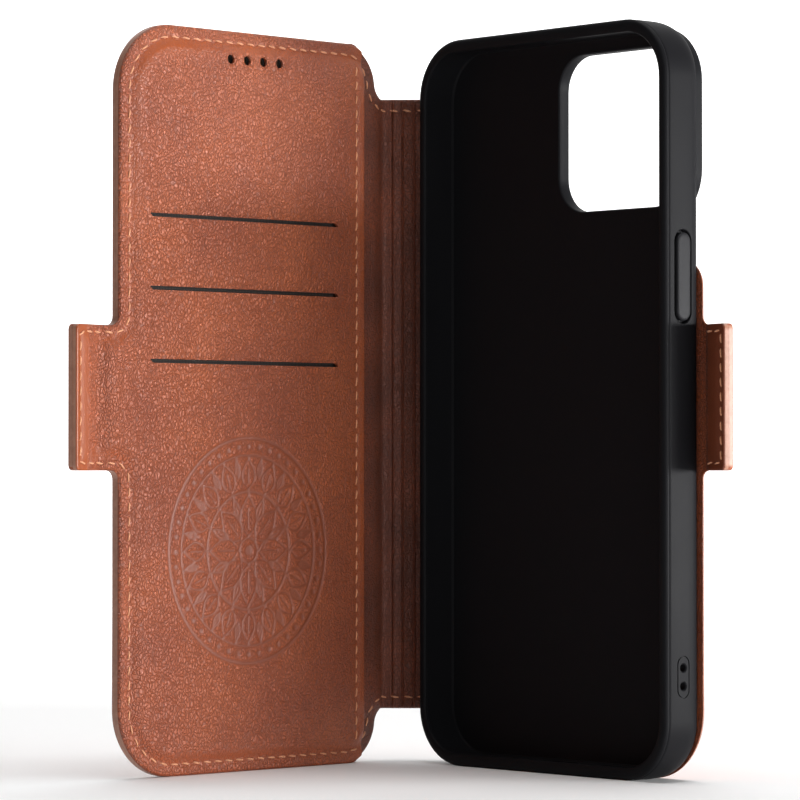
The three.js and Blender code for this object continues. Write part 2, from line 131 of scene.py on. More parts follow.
spine_hinge = joint_place("spine_fold")
cover_hinge = joint_place("cover_fold")
front_tab_hinge = joint_place("front_tab_fold")
rear_tab_hinge = joint_place("rear_tab_fold")
tray_low, tray_high = box_mm("tpu_tray")
tray_front = tray_low[1]
tray_middle = (tray_low[0] + tray_high[0]) / 2
spine_low, spine_high = (corner[2] for corner in box_mm("spine_leather"))
tab_low, tab_high = (corner[2] for corner in box_mm("front_tab_leather"))
HEIGHT = tray_high[2]
SLOTS = [box_mm(f"card_slot_liner_{n}")[1][2] + 1 for n in ("top", "middle", "bottom")]
SPINE_LENGTH = float(np.linalg.norm(cover_hinge - spine_hinge))
SPINE_MIDDLE = SPINE_LENGTH / 2
FRONT_TAB_AT = float(np.linalg.norm(front_tab_hinge - cover_hinge))
REAR_TAB_AT = float(np.linalg.norm(rear_tab_hinge - spine_hinge))
COVER_REACH = FRONT_TAB_AT - 5.5
BACK_REACH = REAR_TAB_AT - 2.4
FRONT_TAB_END = FRONT_TAB_AT + 8.8
REAR_TAB_END = REAR_TAB_AT + 8.4
HOLES = [(50.6 - 4.9 * i, HEIGHT - 6.4) for i in range(4)]


def smooth(t):
    t = np.clip(t, 0, 1)
    return t * t * (3 - 2 * t)


def bell(x, width):
    return np.exp(-((x / width) ** 2))


def unit(v):
    return v / np.linalg.norm(v)


def left_of(way):
    return np.array([-way[1], way[0]])


def cross(a, b):
    return a[0] * b[1] - a[1] * b[0]


def turned(v, angle):
    c, n = math.cos(angle), math.sin(angle)
    return np.array([v[0] * c - v[1] * n, v[0] * n + v[1] * c])


def grid(*spans):
    """Places on a lattice: each way's first, end and step."""
    s, z = np.meshgrid(*(np.arange(*span) for span in spans))
    return np.column_stack([s.ravel(), z.ravel()])


# ---------- outlines: corners are (distance along, height, fillet radius) ----------


def filleted(before, point, after, radius, step):
    """Points and inward normals round one corner."""
    first_way, next_way = unit(point - before), unit(after - point)
    left = left_of(first_way)
    angle = math.atan2(cross(first_way, next_way), float(first_way @ next_way))
    if radius < 1e-6:
        return [point], [(left + turned(left, angle)) / 2]
    side = 1 if angle > 0 else -1
    first = point - first_way * radius * math.tan(abs(angle) / 2)
    centre = first + left * radius * side
    pieces = max(4, math.ceil(abs(angle) * radius / step))
    normals = [turned(left, angle * j / pieces) for j in range(pieces + 1)]
    return [centre - normal * radius * side for normal in normals], normals


def traced(corners, step, closed):
    """Points and inward normals along straight edges and round corners, leather on the left."""
    count = len(corners)
    at = [np.array(c[:2], float) for c in corners]
    places, normals, cursor = [], [], None
    for k in range(count + 1 if closed else count):
        i = k % count
        if not closed and i in (0, count - 1):
            way = unit(at[1] - at[0] if i == 0 else at[i] - at[i - 1])
            stops, facing = [at[i]], [left_of(way)]
        else:
            stops, facing = filleted(at[i - 1], at[i], at[(i + 1) % count], corners[i][2], step)
        if cursor is not None:
            gap = stops[0] - cursor
            length = np.linalg.norm(gap)
            if length > 1e-6:
                pieces = max(1, math.ceil(length / step))
                places += [cursor + gap * j / pieces for j in range(1, pieces)]
                normals += [left_of(gap / length)] * (pieces - 1)
        if k == count:
            break
        places += stops
        normals += facing
        cursor = stops[-1]
    return np.array(places), np.array(normals)


def moving(points, least):
    """False for the points of a path that repeat the one before them."""
    keep = np.ones(len(points), bool)
    keep[1:] = np.linalg.norm(np.diff(points, axis=0), axis=1) > least
    return keep


def open_path(corners, step):
    points, _ = traced(corners, step, closed=False)
    return points[moving(points, 0.01)]


class Outline:
    """An outline that can say how far a point lies from it."""

    def __init__(self, corners, step, closed=True):
        points, normals = traced(corners, step, closed)
        keep = moving(points, 1e-5)
        self.points, self.normals, self.closed = points[keep], normals[keep], closed
        self.tree = KDTree(len(self.points))
        for i, (s, z) in enumerate(self.points):
            self.tree.insert((s, z, 0), i)
        self.tree.balance()

    def distance(self, s, z):
        query = np.column_stack([s, z]).astype(float)
        near = np.array([self.tree.find((*p, 0))[1] for p in query])
        best = np.full(len(query), FAR)
        count = len(self.points)
        for step in (-1, 0):
            i = (near + step) % count if self.closed else np.clip(near + step, 0, count - 2)
            a, b = self.points[i], self.points[(i + 1) % count]
            ab = b - a
            t = np.sum((query - a) * ab, 1) / np.maximum(np.sum(ab * ab, 1), 1e-12)
            off = query - a - ab * np.clip(t, 0, 1)[:, None]
            best = np.minimum(best, np.linalg.norm(off, axis=1))
        return best

    def holds(self, s, z):
        """True for points inside the closed outline."""
        inside = np.zeros(len(s), bool)
        for (x0, y0), (x1, y1) in zip(self.points, np.roll(self.points, -1, axis=0)):
            if y0 != y1:
                crosses = (y0 > z) != (y1 > z)
                inside ^= crosses & (s < (x1 - x0) * (z - y0) / (y1 - y0) + x0)
        return inside


def mirrored(corners):
    return [(s, HEIGHT - z, r) for s, z, r in reversed(corners)]


def inset(corners, amounts):
    """An open outline moved inwards, each edge by its own amount."""
    at = [np.array(c[:2], float) for c in corners]
    ways = [unit(b - a) for a, b in zip(at, at[1:])]
    left = [left_of(w) for w in ways]
    moved = [(*(at[0] + left[0] * amounts[0]), 0)]
    for i in range(1, len(at) - 1):
        p = at[i] + left[i - 1] * amounts[i - 1]
        q = at[i] + left[i] * amounts[i]
        turn = cross(ways[i - 1], ways[i])
        t = cross(q - p, ways[i]) / turn
        amount = (amounts[i - 1] + amounts[i]) / 2
        radius = corners[i][2] + (-amount if turn > 0 else amount)
        moved.append((*(p + ways[i - 1] * t), max(radius, 0.4)))
    moved.append((*(at[-1] + left[-1] * amounts[-1]), 0))
    return moved


def tab_corners(reach, end, root):
    """A clasp tab that stands out of a leaf's free edge."""
    return [
        (reach, tab_low, root), (end, tab_low, TAB_CORNER),
        (end, tab_high, TAB_CORNER), (reach, tab_high, root),
    ]


# the S by which a leaf necks down to the spine, at its bottom edge
neck_turn = math.acos(1 - spine_low / (NECK_OUTER + NECK_INNER))
neck_inner = NECK_INNER * math.tan(neck_turn / 2)
neck_outer = NECK_OUTER * math.tan(neck_turn / 2)
neck_end = NECK_START + neck_inner + (neck_inner + neck_outer) * math.cos(neck_turn)
neck = [(NECK_START + neck_inner, spine_low, NECK_INNER), (neck_end, 0, NECK_OUTER)]
cover_foot = (COVER_REACH, 0, COVER_CORNER)
spine_ends = (-SPINE_MIDDLE, spine_low, 0), (-SPINE_MIDDLE, spine_high, 0)
cover_corners = [
    spine_ends[0], *neck, cover_foot,
    *tab_corners(COVER_REACH, FRONT_TAB_END, COVER_TAB_ROOT),
    *mirrored([*neck, cover_foot]), spine_ends[1],
]
back_corners = [
    spine_ends[0], *neck, (BACK_REACH, 0, BACK_CORNER),
    *tab_corners(BACK_REACH, REAR_TAB_END, BACK_TAB_ROOT),
    (BACK_REACH, NOTCH_LOW, 6), (NOTCH_SIDE, NOTCH_LOW, 12.8), (NOTCH_SIDE, HEIGHT, 4),
    *mirrored(neck), spine_ends[1],
]
cover_edge = Outline(cover_corners, 0.5, closed=False)
back_edge = Outline(back_corners, 0.5, closed=False)


def cut(corners, start):
    """The closed outline of what lies beyond a straight cut at start."""
    points = open_path(corners, 0.4)
    inside = np.flatnonzero(points[:, 0] >= start)
    first, last = inside[0], inside[-1]

    def crossing(a, b):
        t = (start - a[0]) / (b[0] - a[0])
        return (start, float(a[1] + t * (b[1] - a[1])), 0)

    path = [(float(s), float(z), 0) for s, z in points[first:last + 1]]
    ends = crossing(points[first - 1], points[first]), crossing(points[last + 1], points[last])
    return [ends[0], *path, ends[1]]


def strip_corners(start, end):
    """The closed outline of a strip across the cover's crease, which necks as the leaf does."""
    points = open_path(cover_corners, 0.25)
    bottom = points[points[:, 1] < HEIGHT / 2]
    bottom = bottom[:int(np.argmax(bottom[:, 0] > NECK_START + NECK_INNER + NECK_OUTER + 3))]
    levels = np.interp([start, end], bottom[:, 0], bottom[:, 1])
    inside = [(*p, 0) for p in bottom if start + 0.05 < p[0] < end - 0.05]
    path = [(start, levels[0], 0), *inside, (end, levels[1], 0)]
    return path + mirrored(path)


def rear_corners(start, end):
    """The same across the tray's crease, where distances count from the tray to the spine."""
    return [(-s, z, r) for s, z, r in reversed(strip_corners(-end, -start))]


# ---------- leaves: (distance along, height, depth from the outer face) to the row frame ----------


@dataclass
class Leaf:
    """A leaf of the case that leaves a hinge along a direction, and bends at one crease on it."""

    bodies: tuple  # before and after the crease
    edge: Outline
    start: np.ndarray
    along: np.ndarray
    side: int  # 1 where its inner face is on the left of its direction
    hinge_at: float
    bend: float  # degrees
    reach: float
    offset: float = 0  # of its grain
    flip: int = 1
    edge_way: int = 1

    def place(self, s, z, w):
        s, z, w = (np.asarray(x, float) for x in (s, z, w))
        run = s - self.hinge_at
        depth = w - HINGE_DEPTH
        angle = math.radians(self.bend) * smooth(run / (2 * self.reach) + 0.5)
        along = self.hinge_at + run * np.cos(angle) - depth * np.sin(angle)
        inward = run * np.sin(angle) + depth * np.cos(angle)
        inner_way = self.side * left_of(self.along)
        xy = self.start + np.outer(along, self.along) + np.outer(inward, inner_way)
        return np.column_stack([xy, z]) * MM

    def blend_ends(self):
        """Where the bend starts and ends."""
        ends = [self.hinge_at - self.reach, self.hinge_at + self.reach]
        return [Vector(p) for p in self.place(ends, [HEIGHT / 2] * 2, [HINGE_DEPTH] * 2)]

    def grain_place(self, s, z, w):
        """The place in one flat hide, which runs on from leaf to leaf."""
        return np.column_stack([self.flip * s + self.offset, z, w])

    def from_edge(self, s, z):
        return self.edge.distance(self.edge_way * s, z)

    def tab_share(self, s):
        """0 on the leaf and 1 on its clasp tab."""
        return smooth((s - self.hinge_at + 2.4) / 4.2)


def turn_between(a, b):
    """Degrees from direction a to direction b."""
    return math.degrees(math.atan2(cross(a, b), a[0] * b[0] + a[1] * b[1]))


spine_way = cover_hinge - spine_hinge
cover_bend = turn_between(spine_way, front_tab_hinge - cover_hinge)
cover_leaf = Leaf(
    ("cover", "front_tab"), cover_edge, cover_hinge, unit(front_tab_hinge - cover_hinge), 1,
    FRONT_TAB_AT, TAB_BEND, TAB_REACH, offset=SPINE_LENGTH,
)
front_leaf = Leaf(
    ("spine", "cover"), cover_edge, cover_hinge, unit(spine_way), 1,
    0, cover_bend, CREASE_REACH, offset=SPINE_LENGTH,
)
rear_leaf = Leaf(
    ("tray", "spine"), back_edge, spine_hinge, np.array([-1.0, 0.0]), 1,
    0, turn_between((-1, 0), spine_way), CREASE_REACH, edge_way=-1,
)
back_leaf = Leaf(
    ("tray", "rear_tab"), back_edge, spine_hinge, unit(rear_tab_hinge - spine_hinge), -1,
    REAR_TAB_AT, TAB_BEND, REAR_TAB_REACH, flip=-1,
)


# ---------- sheets of leather made solid ----------

RINGS = (0.05, 0.14, 0.28, 0.46, 0.7, 1.0, 1.5, 2.0, 2.45, 2.9, 3.4, 4.0, 4.7, 5.5)
STRIP_RINGS = RINGS[:6]


def add_loop(points, edges, loop):
    first, count = len(points), len(loop)
    points.extend(loop)
    edges.extend((first + i, first + (i + 1) % count) for i in range(count))


def flat_mesh(corners, step, lattice, openings=(), rings=RINGS):
    """Triangles of a filleted outline, with rings along its edge, a lattice and openings."""
    outline = Outline(corners, step)
    points, edges = [], []
    add_loop(points, edges, [tuple(p) for p in outline.points])
    ringed = np.concatenate([outline.points + outline.normals * r for r in rings])
    least = np.repeat(rings, len(outline.points)) * 0.985 - 0.004
    loose = [ringed[(outline.distance(*ringed.T) > least) & outline.holds(*ringed.T)]]
    for spots in lattice:
        inside = outline.holds(*spots.T) & (outline.distance(*spots.T) > rings[-1] + 0.3)
        loose.append(spots[inside])
    loose = np.concatenate(loose)
    keep = np.ones(len(loose), bool)
    for opening in openings:
        for loop in opening["loops"]:
            add_loop(points, edges, loop)
        keep &= ~opening["near"](*loose.T)
    points.extend(tuple(p) for p in loose[keep])
    found = delaunay_2d_cdt([Vector(p) for p in points], edges, [], 0, 1e-5)
    flat = np.array([tuple(v) for v in found[0]])
    faces = np.array([tuple(f) for f in found[2]])
    middles = flat[faces].mean(axis=1)
    shown = outline.holds(*middles.T)
    for opening in openings:
        shown &= ~opening["inside"](*middles.T)
    return flat, faces[shown]


def aperture(loops, reach, near, inside):
    """Loops round an opening, and tests for places beside it and inside it."""
    return {
        "loops": loops,
        "near": lambda s, z: reach(s, z) < near,
        "inside": lambda s, z: reach(s, z) < inside,
    }


def round_hole(centre, radii, count=28):
    x, y = centre
    turns = [2 * math.pi * i / count for i in range(count)]
    loops = [[(x + r * math.cos(a), y + r * math.sin(a)) for a in turns] for r in radii]
    return aperture(
        loops, lambda s, z: np.hypot(s - x, z - y), radii[-1] + 0.25, radii[0] * 0.995
    )


def card_slit(low):
    near, far = SLOT_ENDS
    high, half = low + SLOT_HEIGHT, SLOT_HEIGHT / 2

    def pill(g):
        radius = (high - low) / 2 + g - 0.001
        corners = [
            (near - g, low - g, radius), (far + g, low - g, radius),
            (far + g, high + g, radius), (near - g, high + g, radius),
        ]
        return [tuple(p) for p in traced(corners, 1.0, closed=True)[0]]

    def reach(s, z):
        return np.hypot(s - np.clip(s, near + half, far - half), z - low - half)

    grows = (0, 0.12, 0.3, 0.6, 1.1)
    return aperture([pill(g) for g in grows], reach, half + grows[-1] + 0.35, half * 0.99)


def finish_mesh(mesh, sharp_angle):
    """Turns every face outwards and shades the mesh smooth."""
    work = bmesh.new()
    work.from_mesh(mesh)
    bmesh.ops.recalc_face_normals(work, faces=work.faces)
    work.to_mesh(mesh)
    work.free()
    mesh.polygons.foreach_set("use_smooth", np.ones(len(mesh.polygons), bool))
    mesh.set_sharp_from_angle(angle=math.radians(sharp_angle))
    mesh.update()


def build(name, vertices, polygons, sharp_angle, materials, attributes=()):
    """A smooth object, with attributes on its vertices of one or three numbers each."""
    mesh = bpy.data.meshes.new(name)
    mesh.from_pydata(vertices, [], polygons)
    for material in materials:
        mesh.materials.append(material)
    finish_mesh(mesh, sharp_angle)
    for label, values in attributes:
        kind, field = ("FLOAT", "value") if values.ndim == 1 else ("FLOAT_VECTOR", "vector")
        layer = mesh.attributes.new(label, kind, "POINT")
        layer.data.foreach_set(field, values.astype(np.float32).ravel())
    made = bpy.data.objects.new(name, mesh)
    bpy.context.scene.collection.objects.link(made)
    return made


def tube_faces(first, rings, sides):
    """Faces between rings of points, the first of which starts at first."""
    faces = []
    for i in range(len(rings) - 1):
        near, far = first + rings[i] * sides, first + rings[i + 1] * sides
        for k in range(sides):
            m = (k + 1) % sides
            faces.append((near + k, near + m, far + m, far + k))
    return faces


def declare(piece, slot, leaf, nodes):
    """Bakes a piece's transform and hides the nodes that it stands for; its slot is not used."""
    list(leaf.bodies)
    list(leaf.blend_ends())
    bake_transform(piece)
    if nodes:
        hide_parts(*nodes)
    return piece


def sheet(name, leaf, mesh, front, back, finish, slot, nodes, **marks):
    """A closed solid between a front and a back surface over a flat mesh, and its finish."""
    flat, faces = mesh
    s, z = flat.T
    count = len(flat)
    depths = (front(leaf, s, z), back(leaf, s, z))
    vertices = np.concatenate([leaf.place(s, z, w) for w in depths])
    attributes = [("grain_place", np.concatenate([leaf.grain_place(s, z, w) for w in depths]))]
    attributes += [(k, np.concatenate([level, np.zeros(count)])) for k, level in marks.items()]
    polygons = faces.tolist()
    edges = {pair: True for a, b, c in polygons for pair in ((a, b), (b, c), (c, a))}
    rim = [(a, b) for a, b in edges if (b, a) not in edges]
    polygons += [(c + count, b + count, a + count) for a, b, c in polygons]
    polygons += [(b, a, a + count, b + count) for a, b in rim]
    piece = build(name, vertices.tolist(), polygons, 48, [finish, edge_finish], attributes)
    ends = np.array(rim)[:, 0]
    painted = np.zeros(len(polygons), np.int32)
    painted[-len(rim):] = leaf.from_edge(s[ends], z[ends]) < 0.02
    piece.data.polygons.foreach_set("material_index", painted)
    return declare(piece, slot, leaf, nodes)


# ---------- surfaces: how deep a face lies at a place of a leaf ----------


def edge_drop(distance, radius):
    """How far a rounded edge falls away from the flat."""
    short = radius - np.clip(distance, 0, radius)
    return radius - np.sqrt(np.maximum(radius * radius - short * short, 0))


rng = random.Random(7)
WAVES = [
    (rng.uniform(0.04, 0.3), rng.uniform(0, 2 * math.pi), rng.uniform(0, 2 * math.pi))
    for _ in range(9)
]


def ripple(s, z):
    """Slow unevenness of a hand-laid leather, from -1 to 1."""
    total = np.zeros(len(s))
    for rate, way, phase in WAVES:
        total += np.sin(rate * (s * math.cos(way) + z * math.sin(way)) + phase)
    return total / len(WAVES) * 1.6


def medallion(s, z):
    """1 in the pressed lines of the ornament: beads round a ring of leaves and a rosette."""
    x = (s - MEDALLION[0]) / MEDALLION_SIZE[0] * 24
    y = (z - MEDALLION[1]) / MEDALLION_SIZE[1] * 24
    r = np.hypot(x, y)
    turn = np.arctan2(y, x)

    def around(count, shift=0.0):
        """Along and across the nearest of so many equal spokes."""
        each = 2 * math.pi / count
        local = (turn + shift + each / 2) % each - each / 2
        return r * np.cos(local), r * np.sin(local)

    def line(distance, half):
        return 1 - smooth((np.abs(distance) - half) / 0.34)

    def petals(count, inner, outer, width, shift=0.0):
        along, across = around(count, shift)
        across = np.abs(across)
        t = np.clip((along - inner) / (outer - inner), 0, 1)
        half = width * np.sin(math.pi * t ** 0.8)
        rib = line(across, 0.1) * ((t > 0.12) & (t < 0.7))
        inside = (along > inner - 0.4) & (along < outer + 0.4)
        return np.where(inside, np.maximum(line(across - half, 0.2), rib), 0)

    along, across = around(44)
    parts = (
        line(r - 23.5, 0.3),
        line(r - 19.9, 0.2),
        1 - smooth((np.hypot(along - 21.7, across) - 0.55) / 0.35),  # beads
        petals(16, 13.0, 19.2, 1.9),
        petals(16, 15.5, 19.3, 0.7, math.pi / 16),
        line(r - 12.3, 0.25),
        petals(8, 3.2, 11.6, 2.5),
        petals(8, 6.4, 11.7, 0.9, math.pi / 8),
        line(r - 2.6, 0.2),
        1 - smooth((r - 1.0) / 0.4),
    )
    return np.where(r < 25, np.maximum.reduce(parts), 0)


def tab_face(d):
    return TAB_FACE + 0.12 * smooth((d - 1.5) / 2.2) - 0.1 * bell(d - 1.35, 0.45)


def tab_middle(d):
    """The back of a tab's lining, over its board."""
    return TAB_MIDDLE + 0.6 * smooth((d - 1.1) / 0.5)


def tab_rim(d):
    return 0.3 * (1 - smooth((d - 1.1) / 0.3))


def slot_relief(s, z, low):
    """A card slit: a raised lip below it and a dip above it."""
    near, far = SLOT_ENDS
    along = smooth((s - near + 2) / 3) * smooth((far + 2 - s) / 3)
    below, above = low - z, z - low - SLOT_HEIGHT
    lip = np.where(below > -0.45, 0.34 * bell(np.clip(below - 0.5, 0, 99), 2.2), 0)
    dip = np.where(above > -0.45, 0.3 * np.exp(-np.clip(above, 0, 99) / 2.6), 0)
    return along * (lip - dip)


def panel_front(leaf, s, z):
    """The inner face of the cover: a pressed border, a padded card panel and the tab's face."""
    d = leaf.from_edge(s, z)
    edge = s - PANEL_EDGE
    raised = smooth((d - PRESSED) / 2.4)
    face = PANEL_BORDER + PANEL_RAISE * raised
    face += 0.5 * (1 - np.exp(-np.clip(d - 3, 0, 99) / 9)) * smooth(edge / 14)
    face += 0.05 * ripple(s, z) * smooth((d - 3) / 4)
    face -= 0.16 * bell(d - BORDER_SEAM, 0.55) * (edge > 0)
    face -= 0.18 * bell(edge - BORDER_SEAM, 0.6) * raised
    for low in SLOTS:
        face += slot_relief(s, z, low)
    for centre in HOLES:
        reach = np.hypot(s - centre[0], z - centre[1]) - HOLE_RADIUS
        face -= 0.3 * bell(np.clip(reach, 0, 9), 0.4)
    face -= 0.24 * medallion(s, z)
    share = leaf.tab_share(s)
    face = face * (1 - share) + tab_face(d) * share - 0.22 * bell(s - leaf.hinge_at, 1.3)
    face -= edge_drop(d, 0.8) * (1 - share) + edge_drop(d, 0.35) * share
    return face - edge_drop(edge, 0.35) * (d > 1.2)


def panel_back(leaf, s, z):
    d = leaf.from_edge(s, z)
    share = leaf.tab_share(s)
    front = panel_front(leaf, s, z)
    rise = smooth((d - 2.3) / 1.9)
    inner = (RIM_BACK + GLUE) * (1 - rise) + (front - PANEL_SKIN) * rise
    return np.minimum(inner * (1 - share) + tab_middle(d) * share, front - 0.25)


def outer_front(leaf, s, z):
    d = leaf.from_edge(s, z)
    face = 0.14 * (1 - smooth((d - PRESSED) / 1.6)) + 0.12 * bell(d - BORDER_SEAM, 0.5)
    face += 0.02 * ripple(s, z)
    face *= smooth((s - SPLIT) / 3)
    share = leaf.tab_share(s)
    return face * (1 - share) + edge_drop(d, 0.6) * (1 - share) + edge_drop(d, 0.35) * share


def cover_back(leaf, s, z):
    d = leaf.from_edge(s, z)
    share = leaf.tab_share(s)
    rim = (1 - smooth((d - 2.2) / 0.5)) * smooth((s - 9) / 2)
    return (LEATHER + (RIM_BACK - LEATHER) * rim) * (1 - share) + (LEATHER + tab_rim(d)) * share


def back_back(leaf, s, z):
    return 0.8 + (0.1 + tab_rim(leaf.from_edge(s, z))) * leaf.tab_share(s)


def ridges(to_crease):
    """A pressed groove with a raised line beside it, repeated across the spine's lining."""
    relief = np.zeros(len(to_crease))
    for i in range(GROOVE_COUNT):
        x = to_crease - FIRST_GROOVE - i * GROOVE_PITCH
        relief += 0.26 * bell(x - 0.36, 0.2) - 0.3 * bell(x, 0.2)
    return relief


def lining_front(leaf, s, z):
    """From the spine's middle past the cover's crease, or from beside the tray to the middle."""
    d = leaf.from_edge(s, z)
    on_cover = leaf is front_leaf
    rise = 0.7 * smooth((s - 0.3) / 4.5) if on_cover else 0
    to_crease = -s if on_cover else SPINE_LENGTH - s
    face = LINING_FACE + rise + ridges(to_crease) * smooth((d - 0.2) / 0.8)
    face -= 0.1 * bell(d - BORDER_SEAM, 0.5)
    return face - edge_drop(d, 0.45)


def lining_back(leaf, s, z):
    return np.full(len(s), LEATHER + GLUE)


def strip_front(leaf, s, z):
    return edge_drop(leaf.from_edge(s, z), 0.6)


def strip_back(leaf, s, z):
    return np.full(len(s), LEATHER)


def rear_tab_share(leaf, s):
    return smooth((s - leaf.hinge_at + 0.3) / 2)


def rear_tab_front(leaf, s, z):
    d = leaf.from_edge(s, z)
    share = rear_tab_share(leaf, s)
    return 1.35 * (1 - share) + tab_face(d) * share - edge_drop(d, 0.35)


def rear_tab_back(leaf, s, z):
    share = rear_tab_share(leaf, s)
    return 0.85 * (1 - share) + tab_middle(leaf.from_edge(s, z)) * share


# ---------- where the leather is rubbed smooth ----------


def patchy(s, z):
    return smooth(0.5 + 0.9 * ripple(s * 1.7 + 31, z * 1.3))


def panel_burnish(leaf, s, z):
    d = leaf.from_edge(s, z)
    near_corner = np.hypot(s - COVER_REACH + 14, (np.abs(z - HEIGHT / 2) - HEIGHT / 2 + 10))
    level = bell(d - 3.6, 1.5) * (0.1 + 0.5 * patchy(s, z))
    level = np.maximum(level, bell(d - 4.2, 1.8) * bell(near_corner, 14) * (z > HEIGHT / 2))
    level = np.maximum(level, 0.55 * bell(s - PANEL_EDGE - 1.0, 2.6))
    return np.maximum(level, smooth((s - leaf.hinge_at - 3.8) / 1.4))


def edge_burnish(leaf, s, z):
    rubbed = bell(leaf.from_edge(s, z) - 3.4, 1.3) * (0.2 + 0.6 * patchy(s, z))
    return np.maximum(rubbed, smooth((s - leaf.hinge_at - 2.4) / 1.4))


# ---------- stitching ----------


def seam_path(corners, amounts, low, high):
    """An inset outline's runs that lie between two distances from the hinge."""
    points, _ = traced(inset(corners, amounts), 0.4, closed=False)
    shown = (points[:, 0] >= low) & (points[:, 0] <= high)
    runs = np.split(np.arange(len(points)), np.flatnonzero(np.diff(shown)) + 1)
    return [points[run] for run in runs if shown[run[0]] and len(run) > 3]


def stitch(centre, way, leaf, face, out):
    """A short two-ply thread that dives into the leather at both ends: its places in the leaf."""
    across = left_of(way)
    u = np.linspace(-1, 1, THREAD_RINGS)
    middle = centre + np.outer(u * STITCH_LENGTH / 2, way)
    base = face(leaf, middle[:, 0], middle[:, 1])
    lift = 0.13 - 0.36 * np.abs(u) ** 3.4
    turn = np.arange(THREAD_SIDES) * 2 * math.pi / THREAD_SIDES
    rows = []
    for k in range(THREAD_RINGS):
        ply = 1 + 0.13 * np.cos(2 * turn - 5.2 * u[k])
        radius = THREAD_RADIUS * (1 - 0.32 * u[k] ** 4) * ply
        place = middle[k] + np.outer(radius * np.cos(turn), across)
        depth = base[k] + out * (lift[k] + radius * np.sin(turn) * 0.85)
        rows.append((place[:, 0], place[:, 1], depth))
    return [np.concatenate(x) for x in zip(*rows)]


def stitching(name, leaf, paths, face, out):
    """Slanted stitches along paths on a face; out is 1 on inner faces and -1 on outer ones."""
    vertices, grain, polygons = [], [], []
    for path in paths:
        run = np.cumsum(np.linalg.norm(np.diff(path, axis=0, prepend=path[:1]), axis=1))
        count = max(1, round(run[-1] / STITCH_PITCH))
        for k in range(count):
            at = (k + 0.5) * run[-1] / count
            before, after = (
                np.array([np.interp(at + side, run, path[:, axis]) for axis in (0, 1)])
                for side in (-0.8, 0.8)
            )
            slant = math.radians(STITCH_SLANT + rng.uniform(-3, 3))
            way = turned(unit(after - before), slant)
            place = stitch((before + after) / 2, way, leaf, face, out)
            first = len(vertices) * THREAD_SIDES * THREAD_RINGS
            last = first + THREAD_SIDES * (THREAD_RINGS - 1)
            polygons += tube_faces(first, range(THREAD_RINGS), THREAD_SIDES)
            polygons.append(tuple(range(first + THREAD_SIDES - 1, first - 1, -1)))
            polygons.append(tuple(range(last, last + THREAD_SIDES)))
            vertices.append(leaf.place(*place))
            grain.append(leaf.grain_place(*place))
    vertices, grain = np.concatenate(vertices), np.concatenate(grain)
    attributes = [("grain_place", grain)]
    return build(name, vertices.tolist(), polygons, 70, [thread_finish], attributes)


# ---------- materials ----------


def srgb(red, green, blue):
    """The linear colour of an sRGB one given from 0 to 255."""
    parts = [c / 255 for c in (red, green, blue)]
    linear = [p / 12.92 if p <= 0.04045 else ((p + 0.055) / 1.055) ** 2.4 for p in parts]
    return (*linear, 1)


def times(colour, factor):
    return (*(c * factor for c in colour[:3]), 1)


class Finish:
    """A node material: nodes are added by kind, and linked by their sockets' names."""

    def __init__(self, name, roughness):
        self.material = bpy.data.materials.new(name)
        self.material.use_nodes = True
        self.tree = self.material.node_tree
        self.shader = self.tree.nodes["Principled BSDF"]
        self.to(Roughness=roughness)

    def feed(self, node, values):
        """Links or sets the sockets of a node, by name or number."""
        for key, value in values.items():
            socket = node.inputs[key.replace("_", " ") if isinstance(key, str) else key]
            if isinstance(value, bpy.types.NodeSocket):
                self.tree.links.new(value, socket)
            else:
                socket.default_value = value
        return node

    def add(self, kind, settings=None, **values):
        made = self.tree.nodes.new(kind)
        for key, value in (settings or {}).items():
            setattr(made, key, value)
        return self.feed(made, values)

    def to(self, **values):
        self.feed(self.shader, values)

    def math(self, operation, *values, kind="ShaderNodeMath", output=0):
        made = self.add(kind, {"operation": operation})
        return self.feed(made, dict(enumerate(values))).outputs[output]

    def mix(self, share, a, b):
        made = self.add("ShaderNodeMix", {"data_type": "RGBA"})
        return self.feed(made, {0: share, 6: a, 7: b}).outputs[2]

    def ramp(self, value, *stops):
        made = self.add("ShaderNodeValToRGB", Fac=value)
        ramp = made.color_ramp
        ramp.elements[0].position, ramp.elements[1].position = stops[0][0], stops[-1][0]
        for at, level in stops[1:-1]:
            ramp.elements.new(at)
        for element, (at, level) in zip(ramp.elements, stops):
            element.color = (level, level, level, 1)
        return made.outputs["Color"]

    def noise(self, place, scale, detail, output="Fac", **values):
        values.update(Vector=place, Scale=scale, Detail=detail)
        return self.add("ShaderNodeTexNoise", **values).outputs[output]

    def attribute(self, name, kind="Fac"):
        return self.add("ShaderNodeAttribute", {"attribute_name": name}).outputs[kind]

    def object_place(self):
        return self.add("ShaderNodeTexCoord").outputs["Object"]

    def bump(self, height, distance, strength, **below):
        values = {"Height": height, "Distance": distance, "Strength": strength, **below}
        return self.add("ShaderNodeBump", **values).outputs["Normal"]


